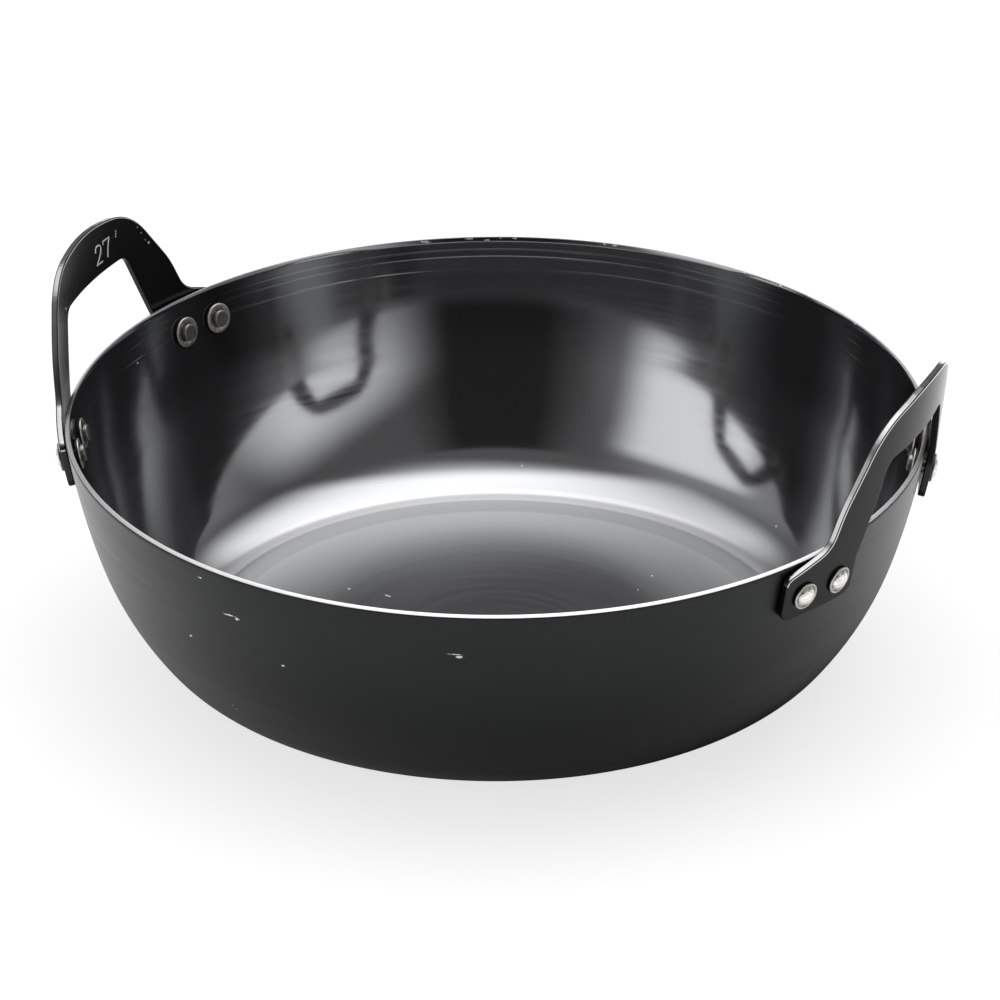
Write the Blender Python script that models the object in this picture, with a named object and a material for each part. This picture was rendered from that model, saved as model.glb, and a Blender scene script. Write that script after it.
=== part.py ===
"""Deep-frying pot in black carbon steel: a spun bowl with two riveted loop handles.

The bowl is turned from one profile of tangent arcs. Each handle is one stamped plate,
rolled a little tighter than the bowl, so that its two feet bear on the wall at their outer
ends. Two rivets hold each foot, and every rivet is set over a washer inside the bowl.

Origin: centre of the flat base, on the surface that the pot stands on. +Z is up.
The handles lie on +X and -X.
"""
from math import acos, ceil, cos, hypot, pi, radians, sin, tan

import bmesh
import bpy
from mathutils import Matrix, Vector

MM = 0.001

# Bowl
RIM_DIAMETER = 270.0 * MM        # across the inner corner of the lip
WALL = 1.6 * MM
LIP_SLANT = radians(29.8)        # the ground lip falls outwards
LIP_EDGE = 0.25 * MM             # rounding of the lip's two corners
RIM_SLOPE = radians(9.1)         # wall slopes are measured from the vertical
WAIST_SLOPE = radians(18.2)
HAUNCH_SLOPE = radians(38.0)
UPPER_ARC_RADIUS = 239.0 * MM
LOWER_ARC_RADIUS = 97.6 * MM
CORNER_RADIUS = 29.7 * MM

# Handle plate, drawn flat: across is measured along the bowl's curve from the middle of
# the handle, up is measured along the plate from the level of the lip
PLATE = 2.3 * MM
PLATE_EDGE = 0.45 * MM           # rounding of the stamped edges
GRIP_HEIGHT = 22.4 * MM          # top of the hand hole above the rim
GRIP_TOP_WIDTH = 43.4 * MM
GRIP_CORNER = 5.5 * MM
FEET_GAP = 68.0 * MM             # clear width between the two feet
FEET_GAP_TURN = 6.2 * MM         # the hole's sides turn upright this far below the rim
BAR_WIDTH = 17.7 * MM            # from the hole's top to the crown of the bar
CROWN_FALL = 4.2 * MM
CROWN_RADIUS = 80.0 * MM
SHOULDER_REACH = 5.0 * MM        # shoulder beyond the hole's top corner
SHOULDER_RADIUS = 25.0 * MM
LEG_WIDTH = 17.2 * MM
KNEE_HEIGHT = 13.8 * MM
KNEE_RADIUS = 40.0 * MM
ANKLE_HEIGHT = 1.8 * MM
ANKLE_RADIUS = 9.0 * MM
FOOT_WIDTH = 31.4 * MM
FOOT_DEPTH = 19.3 * MM           # lower edge of the feet below the rim
FOOT_TOE_DEPTH = 3.9 * MM        # outer top corner of the feet below the rim
FOOT_CORNER = 3.2 * MM
LOOP_LEAN = radians(6.5)         # the loop leans outwards above the rim
PLATE_BOW = 0.8 * MM             # stand-off at its middle: it is rolled tighter than the bowl

# Rivets and washers
RIVET_EDGE = 8.15 * MM           # rivet's centre to the end of the foot
RIVET_LIFT = 7.85 * MM           # rivet's centre above the foot's lower edge
SHANK_DIAMETER = 4.4 * MM
HEAD_DIAMETER = 9.2 * MM
HEAD_FLANGE = 0.7 * MM
HEAD_RING = 0.8 * MM             # width of the raised ring round the head
HEAD_GROOVE = 0.45 * MM          # width of the groove between the ring and the dome
DOME_HEIGHT = 2.1 * MM
TAIL_DIAMETER = 5.6 * MM         # hammered end inside the bowl
TAIL_HEIGHT = 1.1 * MM
WASHER_DIAMETER = 9.8 * MM
WASHER_THICKNESS = 1.2 * MM
WASHER_EDGE = 0.35 * MM
GAP = 0.3 * MM                   # between pieces that bear on each other

# Fineness
ROUND_SAG = 0.13 * MM            # most that a facet falls inside the bowl's circle
PROFILE_SAG = 0.08 * MM          # and inside the arcs of its profile
FILLET_STEP = radians(13)
LATHE_STEPS = 14
ROLL_STEP = 5.2 * MM             # spacing of the lines on which the plate is rolled


def clear_scene():
    for old in list(bpy.data.objects):
        bpy.data.objects.remove(old, do_unlink=True)


def steel(name, colour, metallic, roughness):
    material = bpy.data.materials.new(name)
    material.use_nodes = True
    shader = material.node_tree.nodes["Principled BSDF"]
    shader.inputs["Base Color"].default_value = (*colour, 1.0)
    shader.inputs["Metallic"].default_value = metallic
    shader.inputs["Roughness"].default_value = roughness
    return material


def add_object(name, mesh, material):
    if not mesh.materials:
        mesh.materials.append(material)
    made = bpy.data.objects.new(name, mesh)
    bpy.context.collection.objects.link(made)
    return made


def mesh_from(bm, name):
    bmesh.ops.recalc_face_normals(bm, faces=bm.faces)
    mesh = bpy.data.meshes.new(name)
    bm.to_mesh(mesh)
    bm.free()
    mesh.shade_smooth()
    mesh.set_sharp_from_angle(angle=radians(35))
    return mesh


def turned(profile, steps, axis, name):
    """Spin (radius, height) points about an axis; the ends on the axis become poles."""
    side = Vector((1, 0, 0)) if axis.z else Vector((0, 0, 1))
    bm = bmesh.new()
    points = [bm.verts.new(side * radius + axis * height) for radius, height in profile]
    edges = [bm.edges.new(pair) for pair in zip(points, points[1:])]
    if profile[0] == profile[-1]:
        bmesh.ops.remove_doubles(bm, verts=bm.verts, dist=GAP / 100)
        edges = list(bm.edges)
    bmesh.ops.spin(bm, geom=list(bm.verts) + edges, axis=axis, cent=(0, 0, 0),
                   angle=2 * pi, steps=steps, use_merge=True)
    bmesh.ops.remove_doubles(bm, verts=bm.verts, dist=GAP / 100)
    return mesh_from(bm, name)


def arc_steps(turn, radius, sag):
    """Facets along an arc that keep each facet within a sag of the true curve."""
    return max(2, ceil(turn / (2 * acos(1 - sag / radius))))


def rounded(corners):
    """Points of a closed outline; each corner is (x, y, fillet radius)."""
    points = []
    for index, (x, y, radius) in enumerate(corners):
        here = Vector((x, y))
        before = Vector(corners[index - 1][:2]) - here
        after = Vector(corners[(index + 1) % len(corners)][:2]) - here
        half_turn = (pi - before.angle(after)) / 2
        if radius == 0 or half_turn < radians(0.5):
            points.append(here)
            continue
        reach = min(radius * tan(half_turn), before.length * 0.48, after.length * 0.48)
        radius = reach / tan(half_turn)
        start = here + before.normalized() * reach
        to_centre = (before.normalized() + after.normalized()).normalized()
        centre = here + to_centre * hypot(reach, radius)
        steps = max(2, ceil(2 * half_turn / FILLET_STEP))
        arm = start - centre
        turn = 2 * half_turn / steps
        if before.cross(after) > 0:
            turn = -turn
        points += [centre + Matrix.Rotation(turn * step, 2) @ arm for step in range(steps + 1)]
    return points


def lip_height():
    """Height of the lip's inner corner above its outer corner."""
    extra = WALL * tan(LIP_SLANT - RIM_SLOPE)
    return WALL * sin(RIM_SLOPE) + extra * cos(RIM_SLOPE)


def wall_arcs():
    """(slope at the top, slope at the bottom, radius) of each arc, from the rim down."""
    return ((RIM_SLOPE, WAIST_SLOPE, UPPER_ARC_RADIUS),
            (WAIST_SLOPE, HAUNCH_SLOPE, LOWER_ARC_RADIUS),
            (HAUNCH_SLOPE, pi / 2, CORNER_RADIUS))


def outer_rim():
    """(radius, height) where the outside of the wall meets the lip."""
    extra = WALL * tan(LIP_SLANT - RIM_SLOPE)
    radius = RIM_DIAMETER / 2 + WALL * cos(RIM_SLOPE) - extra * sin(RIM_SLOPE)
    height = sum(arc * (sin(low) - sin(high)) for high, low, arc in wall_arcs())
    return radius, height


def wall_profile():
    """(radius, height, slope) down the outside of the wall, from the lip to the base."""
    radius, height = outer_rim()
    points = [(radius, height, RIM_SLOPE)]
    for high, low, arc in wall_arcs():
        steps = arc_steps(low - high, arc, PROFILE_SAG)
        for step in range(1, steps + 1):
            slope = high + (low - high) * step / steps
            points.append((radius - arc * (cos(high) - cos(slope)),
                           height - arc * (sin(slope) - sin(high)), slope))
        radius, height = points[-1][:2]
    return points


def wall_place(down, out):
    """(radius, height, slope) at a length down the wall's outside and a distance off it."""
    radius, height = outer_rim()
    slope = RIM_SLOPE + max(down, 0) / UPPER_ARC_RADIUS
    radius -= UPPER_ARC_RADIUS * (cos(RIM_SLOPE) - cos(slope))
    height -= UPPER_ARC_RADIUS * (sin(slope) - sin(RIM_SLOPE))
    above = max(-down, 0)
    radius += above * sin(RIM_SLOPE) + out * cos(slope)
    height += above * cos(RIM_SLOPE) - out * sin(slope)
    return radius, height, slope


def bowl_mesh():
    outside = wall_profile()
    inside = [(radius - WALL * cos(slope), height + WALL * sin(slope))
              for radius, height, slope in reversed(outside)]
    outer_corner = Vector(outside[0][:2])
    inner_corner = Vector((RIM_DIAMETER / 2, outer_corner.y + lip_height()))
    lip = (inner_corner - outer_corner).normalized() * LIP_EDGE
    down_out = Vector((-sin(RIM_SLOPE), -cos(RIM_SLOPE))) * LIP_EDGE
    profile = [(0, 0)]
    profile += [(radius, height) for radius, height, slope in reversed(outside[1:])]
    profile += [tuple(outer_corner + down_out), tuple(outer_corner + lip)]
    profile += [tuple(inner_corner - lip), tuple(inner_corner + down_out)]
    profile += list(reversed(inside))[1:]
    profile += [(0, WALL)]
    steps = arc_steps(2 * pi, outer_corner.x, ROUND_SAG)
    return turned(profile, steps, Vector((0, 0, 1)), "bowl")


def handle_outline():
    """Corners of the flat handle plate, right half first, then its mirror image."""
    hole_top = GRIP_TOP_WIDTH / 2
    foot_start = FEET_GAP / 2
    foot_end = foot_start + FOOT_WIDTH
    taper = (foot_start - hole_top) / (GRIP_HEIGHT + FEET_GAP_TURN)
    crown = GRIP_HEIGHT + BAR_WIDTH
    knee = hole_top + taper * (GRIP_HEIGHT - KNEE_HEIGHT) + LEG_WIDTH
    ankle = hole_top + taper * (GRIP_HEIGHT - ANKLE_HEIGHT) + LEG_WIDTH
    half = [(hole_top + SHOULDER_REACH, crown - CROWN_FALL, SHOULDER_RADIUS),
            (knee, KNEE_HEIGHT, KNEE_RADIUS),
            (ankle, ANKLE_HEIGHT, ANKLE_RADIUS),
            (foot_end, -FOOT_TOE_DEPTH, FOOT_CORNER),
            (foot_end, -FOOT_DEPTH, FOOT_CORNER),
            (foot_start, -FOOT_DEPTH, FOOT_CORNER),
            (foot_start, -FEET_GAP_TURN, 2 * FOOT_CORNER),
            (hole_top, GRIP_HEIGHT, GRIP_CORNER)]
    mirrored = [(-across, up, radius) for across, up, radius in reversed(half)]
    return [(0, crown, CROWN_RADIUS)] + half + mirrored


def seat_radius():
    """Radius on which the flat plate's width is rolled."""
    return outer_rim()[0] + GAP


def stand_off(across):
    """Distance from the wall to the back of the plate, least at the ends of the feet."""
    reach = FEET_GAP / 2 + FOOT_WIDTH
    return GAP + PLATE_BOW * (1 - (across / reach) ** 2)


def on_bowl(across, up, out):
    """Place of a point of the flat plate once the plate is rolled and seated."""
    angle = across / seat_radius()
    down = max(-up, 0) - lip_height()
    radius, height, slope = wall_place(down, stand_off(across) + out)
    radius += max(up, 0) * sin(LOOP_LEAN)
    height += max(up, 0) * cos(LOOP_LEAN)
    return Vector((radius * cos(angle), radius * sin(angle), height))


def handle_mesh():
    """Stamp the plate flat, round its edges, cut it along the rolling lines and roll it."""
    bm = bmesh.new()
    outline = [bm.verts.new((point.x, point.y, 0)) for point in rounded(handle_outline())]
    plate = bm.faces.new(outline)
    top = bmesh.ops.extrude_face_region(bm, geom=[plate])["geom"]
    moved = [item for item in top if isinstance(item, bmesh.types.BMVert)]
    bmesh.ops.translate(bm, verts=moved, vec=(0, 0, PLATE))
    bmesh.ops.recalc_face_normals(bm, faces=bm.faces)
    rims = [edge for edge in bm.edges if abs(edge.verts[0].co.z - edge.verts[1].co.z) < PLATE / 2]
    bmesh.ops.bevel(bm, geom=rims, offset=PLATE_EDGE, segments=1, profile=0.5,
                    affect="EDGES", clamp_overlap=True)
    reach = FEET_GAP / 2 + FOOT_WIDTH
    count = ceil(2 * reach / ROLL_STEP)
    cuts = [(Vector((reach * (2 * step / count - 1), 0, 0)), Vector((1, 0, 0)))
            for step in range(1, count)]
    levels = (-0.75 * FOOT_DEPTH, -0.5 * FOOT_DEPTH, -0.25 * FOOT_DEPTH, 0)
    cuts += [(Vector((0, level, 0)), Vector((0, 1, 0))) for level in levels]
    for place, normal in cuts:
        bmesh.ops.bisect_plane(bm, geom=bm.verts[:] + bm.edges[:] + bm.faces[:],
                               dist=GAP / 1000, plane_co=place, plane_no=normal)
    bmesh.ops.triangulate(bm, faces=bm.faces)
    for vert in bm.verts:
        vert.co = on_bowl(*vert.co)
    return mesh_from(bm, "handle")


def dome_points(radius, foot, height, steps):
    """Quarter of a flattened dome, from its foot up to the axis."""
    return [(radius * cos(pi / 2 * step / steps), foot + (height - foot) * sin(pi / 2 * step / steps))
            for step in range(steps + 1)]


def washer_back():
    """Depth of the washer's seat: a flat ring bridges the hollow of the round wall."""
    hollow = (WASHER_DIAMETER / 2) ** 2 / RIM_DIAMETER
    return WALL + hollow + GAP


def rivet_mesh(back):
    """Turned about X, with the wall's outer face at 0 and the formed head outwards.

    back is the distance from the wall to the back of the plate at this rivet.
    """
    shank = SHANK_DIAMETER / 2
    head = HEAD_DIAMETER / 2
    tail = TAIL_DIAMETER / 2
    seat = back + PLATE + GAP
    ring_in = head - HEAD_RING
    dome = ring_in - HEAD_GROOVE
    tail_seat = -(washer_back() + WASHER_THICKNESS + GAP)
    tail_end = tail_seat - TAIL_HEIGHT
    profile = [(0, tail_end + 0.15 * TAIL_HEIGHT), (0.55 * tail, tail_end),
               (0.85 * tail, tail_end + 0.2 * TAIL_HEIGHT), (tail, tail_end + 0.6 * TAIL_HEIGHT),
               (tail, tail_seat), (shank, tail_seat), (shank, seat), (head, seat),
               (head, seat + 0.6 * HEAD_FLANGE), (head - HEAD_RING / 2, seat + HEAD_FLANGE),
               (ring_in, seat + HEAD_FLANGE / 2)]
    profile += [(radius, seat + height)
                for radius, height in dome_points(dome, HEAD_FLANGE / 2, DOME_HEIGHT, 4)]
    profile[-1] = (0, seat + DOME_HEIGHT)
    return turned(profile, LATHE_STEPS, Vector((1, 0, 0)), "rivet")


def washer_mesh():
    """Flat ring about X; its worked edge faces the inside of the bowl."""
    hole = SHANK_DIAMETER / 2 + GAP
    outer = WASHER_DIAMETER / 2
    back = -washer_back()
    front = back - WASHER_THICKNESS
    profile = [(hole, back), (outer, back), (outer, front + WASHER_EDGE),
               (outer - WASHER_EDGE, front), (hole, front), (hole, back)]
    return turned(profile, LATHE_STEPS, Vector((1, 0, 0)), "washer")


def rivet_rows():
    """Distances across from the middle of the handle to its inner and outer rivets."""
    return FEET_GAP / 2 + RIVET_EDGE, FEET_GAP / 2 + FOOT_WIDTH - RIVET_EDGE


def rivet_frame(angle):
    """Matrix that carries X to the wall's outward normal at a rivet."""
    radius, height, slope = wall_place(FOOT_DEPTH - RIVET_LIFT - lip_height(), 0)
    place = Matrix.Translation((radius, 0, height)) @ Matrix.Rotation(slope, 4, "Y")
    return Matrix.Rotation(angle, 4, "Z") @ place


def drill(frames):
    """One hidden cutter that drills every rivet hole through the bowl and the feet."""
    bm = bmesh.new()
    length = 4 * (WALL + PLATE)
    for frame in frames:
        bmesh.ops.create_cone(bm, cap_ends=True, segments=LATHE_STEPS,
                              radius1=SHANK_DIAMETER / 2 + GAP, radius2=SHANK_DIAMETER / 2 + GAP,
                              depth=length, matrix=frame @ Matrix.Rotation(pi / 2, 4, "Y"))
    cutter = bpy.data.objects.new("rivet_drill", mesh_from(bm, "rivet_drill"))
    bpy.context.collection.objects.link(cutter)
    cutter.hide_render = True
    cutter.display_type = "WIRE"
    return cutter


def cut_holes(target, cutter):
    holes = target.modifiers.new("rivet_holes", "BOOLEAN")
    holes.operation = "DIFFERENCE"
    holes.solver = "EXACT"
    holes.object = cutter


def build():
    clear_scene()
    bowl_steel = steel("black_carbon_steel", (0.028, 0.029, 0.031), 0.9, 0.3)
    handle_steel = steel("black_handle_steel", (0.035, 0.035, 0.036), 0.85, 0.42)
    rivet_steel = steel("bright_rivet_steel", (0.60, 0.59, 0.57), 1.0, 0.3)
    washer_steel = steel("dull_washer_steel", (0.26, 0.24, 0.23), 1.0, 0.5)

    sides = (("right", 0.0), ("left", pi))
    bowl = add_object("pot_shell", bowl_mesh(), bowl_steel)
    plate = handle_mesh()
    inner, outer = rivet_rows()
    rivets = {across: rivet_mesh(stand_off(across)) for across in (inner, outer)}
    washer = washer_mesh()
    handles = []
    frames = []
    for side, turn in sides:
        handle = add_object("handle_" + side, plate, handle_steel)
        handle.rotation_euler.z = turn
        handles.append(handle)
        for number, across in enumerate((-outer, -inner, inner, outer), start=1):
            frame = rivet_frame(across / seat_radius() + turn)
            frames.append(frame)
            rivet = rivets[abs(across)]
            add_object(f"rivet_{side}_{number}", rivet, rivet_steel).matrix_world = frame
            add_object(f"washer_{side}_{number}", washer, washer_steel).matrix_world = frame
    cutter = drill(frames)
    for target in [bowl] + handles:
        cut_holes(target, cutter)


build()
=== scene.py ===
"""The looks of the deep-frying pot: blued carbon steel, spun, stamped, riveted and used a little.

Sizes are in metres, those of the nicks in millimetres, in the frame of the solids: the middle
of the flat base at the origin, +Z up, the handles on +X and -X.
"""
from math import ceil, cos, exp, hypot, pi, radians, sin, tan

import bmesh
import bpy
from mathutils import Matrix, Vector


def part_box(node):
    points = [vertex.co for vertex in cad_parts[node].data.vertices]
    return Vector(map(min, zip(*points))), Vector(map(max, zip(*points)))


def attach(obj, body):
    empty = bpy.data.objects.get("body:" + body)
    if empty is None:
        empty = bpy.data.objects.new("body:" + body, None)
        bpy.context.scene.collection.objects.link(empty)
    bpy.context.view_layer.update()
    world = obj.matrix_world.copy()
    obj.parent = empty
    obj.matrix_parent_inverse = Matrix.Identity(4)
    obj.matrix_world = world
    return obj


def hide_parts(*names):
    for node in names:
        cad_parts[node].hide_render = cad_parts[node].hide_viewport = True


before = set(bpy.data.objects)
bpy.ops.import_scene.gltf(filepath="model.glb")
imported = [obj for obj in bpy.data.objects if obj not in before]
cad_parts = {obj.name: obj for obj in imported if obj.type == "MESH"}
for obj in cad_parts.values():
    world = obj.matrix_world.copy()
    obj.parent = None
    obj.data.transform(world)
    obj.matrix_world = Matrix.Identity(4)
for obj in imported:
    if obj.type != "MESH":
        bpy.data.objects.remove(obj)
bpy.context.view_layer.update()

MM = 0.001
SHELL_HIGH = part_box("pot_shell")[1]

# Bowl: the radius comes from the solid, the rest is its drawing
OUTER_RIM = SHELL_HIGH.x
WALL = 1.6 * MM
LIP_SLANT = radians(29.8)
LIP_EDGE = 0.28 * MM
RIM_SLOPE = radians(9.1)
WAIST_SLOPE = radians(18.2)
HAUNCH_SLOPE = radians(38.0)
UPPER_ARC_RADIUS = 239.0 * MM
LOWER_ARC_RADIUS = 97.6 * MM
CORNER_RADIUS = 29.7 * MM
LIP_DROP = WALL * (sin(RIM_SLOPE) + tan(LIP_SLANT - RIM_SLOPE) * cos(RIM_SLOPE))
OUTER_RIM_HEIGHT = (UPPER_ARC_RADIUS * (sin(WAIST_SLOPE) - sin(RIM_SLOPE))
                    + LOWER_ARC_RADIUS * (sin(HAUNCH_SLOPE) - sin(WAIST_SLOPE))
                    + CORNER_RADIUS * (1 - sin(HAUNCH_SLOPE)))
# Guessed from what the wall mirrors: where it is thicker inside, as height, half the width
# and extra thickness
SWELLS = ((64 * MM, 9 * MM, 0.12 * MM), (37 * MM, 21.5 * MM, 0.9 * MM))
# Faint grooves that the spinning tool left below the rim
GROOVE_HEIGHTS = (74.4 * MM, 72.0 * MM, 67.8 * MM)
GROOVE_HALF_WIDTH = 0.5 * MM

# Heights over which the floor's haze gives way to the wall's gloss, and the inside's colour darkens
# upwards
HAZE_HEIGHTS = (WALL + 0.1 * MM, WALL + 0.6 * MM)
DARKENING_HEIGHTS = (38 * MM, 53 * MM)
# Stand-in tones, painted shade and painted highlights in the inside's colour: they bring the
# bowl's mirrored picture nearer to the photograph's, and no such wear shows there. Dark patches
# of painted shade: their distance from the plane through both handles, the reach over which they
# fade from there, and the heights over which they darken
SHADE_PATCH_MIDDLE = 64 * MM
SHADE_PATCH_FADE = (8 * MM, 21 * MM)
SHADE_PATCH_HEIGHTS = (40 * MM, 56 * MM)
SHADE_PATCH_STRENGTH = 0.6
# Radii over which the ring of painted highlight at the wall's foot starts and ends, and the floor's paler
# painted highlight too
HIGHLIGHT_RING_START = (93.6 * MM, 94.2 * MM)
HIGHLIGHT_RING_END = (95 * MM, 99.5 * MM)
FLOOR_HIGHLIGHT_START = (72 * MM, 86.5 * MM)
FLOOR_HIGHLIGHT_END = (86.5 * MM, 87.2 * MM)

# Fineness of the patterns, in cells to the metre. Real grit, grain and scale are finer, and are
# drawn this coarse so that they show: 0.4 mm grit, then grains of 0.7, 0.7, 0.8 and 1.1 mm,
# scratches of 1.1 by 0.3 mm, and patches of 40 mm in the lacquer
NICK_GRIT = 2600.0
PUNCHED_GRAIN = 1500.0
FINE_GRAIN = 1400.0
HAMMERED_GRAIN = 1300.0
COARSE_GRAIN = 900.0
HEAD_SCRATCHES = (900.0, 900.0, 3200.0)
LACQUER_PATCHES = 25.0
# Values of a noise between which a roughness, or a tone, goes from one end to the other
GLOSS_RANGE = (0.3, 0.7)
TONE_RANGE = (0.35, 0.65)

# Handle plate, drawn flat: across from its middle, up from the level of the lip
PLATE = 2.3 * MM
PLATE_EDGE = 0.45 * MM
GRIP_HEIGHT = 22.4 * MM
GRIP_TOP_WIDTH = 43.4 * MM
GRIP_CORNER = 5.5 * MM
FEET_GAP = 68.0 * MM
FEET_GAP_TURN = 6.2 * MM
BAR_WIDTH = 17.7 * MM
CROWN_FALL = 4.2 * MM
CROWN_RADIUS = 80.0 * MM
SHOULDER_REACH = 5.0 * MM
SHOULDER_RADIUS = 25.0 * MM
LEG_WIDTH = 17.2 * MM
KNEE_HEIGHT = 13.8 * MM
KNEE_RADIUS = 40.0 * MM
ANKLE_HEIGHT = 1.8 * MM
ANKLE_RADIUS = 9.0 * MM
FOOT_WIDTH = 31.4 * MM
FOOT_DEPTH = 19.3 * MM
FOOT_TOE_DEPTH = 3.9 * MM
FOOT_CORNER = 3.2 * MM
LOOP_LEAN = radians(6.5)
PLATE_BOW = 0.8 * MM
FOOT_REACH = FEET_GAP / 2 + FOOT_WIDTH

# Rivets and washers
RIVET_EDGE = 8.15 * MM
RIVET_LIFT = 7.85 * MM
RIVET_DROP = FOOT_DEPTH - RIVET_LIFT
SHANK_DIAMETER = 4.4 * MM
HEAD_DIAMETER = 9.2 * MM
HEAD_FLANGE = 0.7 * MM
HEAD_RING = 0.8 * MM
HEAD_GROOVE = 0.45 * MM
DOME_HEIGHT = 2.1 * MM
TAIL_DIAMETER = 5.6 * MM
TAIL_HEIGHT = 1.1 * MM
TAIL_SHOULDER = 0.5 * MM
TAIL_DISH = 0.1 * MM
WASHER_DIAMETER = 9.8 * MM
WASHER_THICKNESS = 1.2 * MM
WASHER_EDGE = 0.35 * MM
HOLE_EDGE = 0.2 * MM
CHAMFER = 0.15 * MM
GAP = 0.3 * MM

# Size number stamped on one handle, drawn on its inner face with x along the grip
STROKE_DEPTH = 0.3 * MM
NUMBER_HEIGHT = 6.2 * MM
NUMBER_WIDTH = 3.9 * MM
NUMBER_START = 4.6 * MM
NUMBER_PITCH = 5.2 * MM
NUMBER_BASE = 26.1 * MM

# Fineness of the meshes, and the angles from which their edges are sharp
BOWL_STEPS = 240
WALL_STEP = 1.5 * MM
RIVET_STEPS = 48
DOME_STEPS = 12
FILLET_STEP = radians(4)
ROLL_STEP = 1.4 * MM
FOOT_ROWS = 8
TINY = 0.001 * MM
TURNED_SHARP = radians(40)
PLATE_SHARP = radians(35)

# Camera, and the studio round it
CAMERA_AZIMUTH = radians(-67.4)
CAMERA_ELEVATION = radians(26.22)
CAMERA_DISTANCE = 2.8529
CAMERA_YAW = radians(0.021)
CAMERA_PITCH = radians(-0.521)
CAMERA_ROLL = radians(-0.104)
CAMERA_LENS = 324.9
SENSOR = 36.0
DARK_GREY = 0.015
WALL_GREY = 0.143
BACK_GREY = 0.206
CEILING_GREY = 0.171
# Angles from the camera's side over which the walls change, then the sines of the elevations
# over which the ceiling starts and the horizon ends
DARK_SIDE = (radians(14), radians(30))
BACK_SIDE = (radians(110), radians(140))
CEILING_EDGE = (sin(radians(46)), sin(radians(48)))
HORIZON_EDGE = (sin(radians(2)), sin(radians(3)))
FLOOR_RADIUS = 6.0
FLOOR_DROP = 0.2 * MM
# The floor's glow, as the camera sees it and as the pot mirrors it. Mirrored, it is dark in a
# round, a painted shadow round the pot's foot, whose middle lies this far to the camera's right
# and away from the camera, and turns bright over these distances from that middle
DIRECT_FLOOR = 0.74
MIRRORED_FLOOR = 1.5
SHADOW_ROUND_RIGHT = 10 * MM
SHADOW_ROUND_AWAY = 11 * MM
SHADOW_ROUND_EDGE = (107 * MM, 200 * MM)
# Each soft box: azimuth from the camera's, to its right is positive, elevation and roll in
# degrees, then half its width and height and their soft edges in shares of its distance, and
# its brightness
SOFTBOXES = ((149, 77, 19, (0.39, 0.58), (0.36, 0.35), 1.16),
             (174, 72, 9, (0.86, 0.53), (0.39, 0.23), 1.29),
             (-65, 19, 14, (0.39, 0.32), (0.14, 0.06), 1.1),
             (55, 6, 18, (0.46, 0.36), (0.34, 0.2), 1.15),
             (-76, 14, 36, (0.62, 0.69), (0.43, 0.55), 0.36))

# Small nicks, their sizes in millimetres: degrees round the bowl, height, then length, width
# and tilt in degrees
OUTER_NICKS = ((-109.5, 73.9, 1.5, 0.4, 0),
               (-105.2, 63.4, 4.4, 0.5, 4),
               (-104.0, 63.0, 1.6, 1.0, 12),
               (-114.3, 47.4, 1.8, 0.6, 38),
               (-97.7, 49.4, 1.0, 0.8, 0),
               (-72.9, 64.2, 4.6, 0.3, 0),
               (-72.3, 63.3, 2.2, 0.9, 0),
               (-111.2, 21.6, 0.7, 0.6, 0),
               (-110.9, 20.0, 0.7, 0.6, 0))
INNER_NICKS = ((134.0, 6.6, 1.8, 0.7, 10),
               (142.8, 5.0, 0.8, 0.8, 0),
               (108.1, 8.5, 0.8, 0.9, 0),
               (55.5, 10.2, 0.9, 0.7, 0),
               (173.6, 67.0, 0.8, 0.6, 0),
               (122.6, 77.9, 3.0, 0.7, 5),
               (116.3, 78.2, 2.4, 0.6, -5),
               (113.9, 77.6, 1.6, 0.5, 0),
               (112.0, 78.3, 1.0, 0.6, 0),
               (110.0, 78.3, 1.9, 0.6, 0),
               (97.3, 78.2, 1.2, 0.6, 0),
               (95.8, 78.2, 1.3, 0.6, 0),
               (75.6, 78.3, 1.6, 0.5, 0),
               (69.2, 78.3, 0.9, 0.6, 0),
               (53.5, 78.3, 1.4, 0.5, 0))
# The same on the bowl's floor: degrees round it, distance from its middle, length, width
FLOOR_NICKS = ((169.1, 57.3, 0.8, 0.7),
               (165.4, 44.1, 0.5, 2.2),
               (61.4, 64.5, 0.7, 0.6),
               (56.4, 54.8, 0.6, 0.6))
# The same on the inner face of the left handle: across, up, size
PLATE_NICKS = ((-29.0, 29.5, 0.5),
               (-30.5, 27.0, 0.5),
               (-32.0, 24.0, 0.4),
               (-33.5, 22.5, 0.9),
               (-17.8, 32.6, 0.7),
               (-17.6, 31.8, 0.7),
               (-17.4, 31.0, 0.7),
               (23.5, 24.0, 0.9))


def linear(code):
    """Linear colour of an sRGB hex code."""
    parts = [int(code[start:start + 2], 16) / 255 for start in (1, 3, 5)]
    return [part / 12.92 if part <= 0.04045 else ((part + 0.055) / 1.055) ** 2.4
            for part in parts] + [1.0]


def add_node(tree, kind, inputs=(), **settings):
    """A new node; each input takes a value, a socket, or a node's first output."""
    made = tree.nodes.new(kind)
    for name, value in settings.items():
        setattr(made, name, value)
    for key, value in inputs.items() if isinstance(inputs, dict) else enumerate(inputs):
        if isinstance(value, bpy.types.Node):
            value = next(socket for socket in value.outputs if socket.enabled)
        if isinstance(value, bpy.types.NodeSocket):
            tree.links.new(value, made.inputs[key])
        else:
            made.inputs[key].default_value = value
    return made


def new_material(name, colour, metallic, roughness):
    """(material, its tree, its shader, its object coordinates) with plain values on the shader."""
    material = bpy.data.materials.new(name)
    material.use_nodes = True
    tree = material.node_tree
    shader = tree.nodes["Principled BSDF"]
    shader.inputs["Base Color"].default_value = linear(colour)
    shader.inputs["Metallic"].default_value = metallic
    shader.inputs["Roughness"].default_value = roughness
    place = add_node(tree, "ShaderNodeTexCoord").outputs["Object"]
    return material, tree, shader, place


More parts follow.
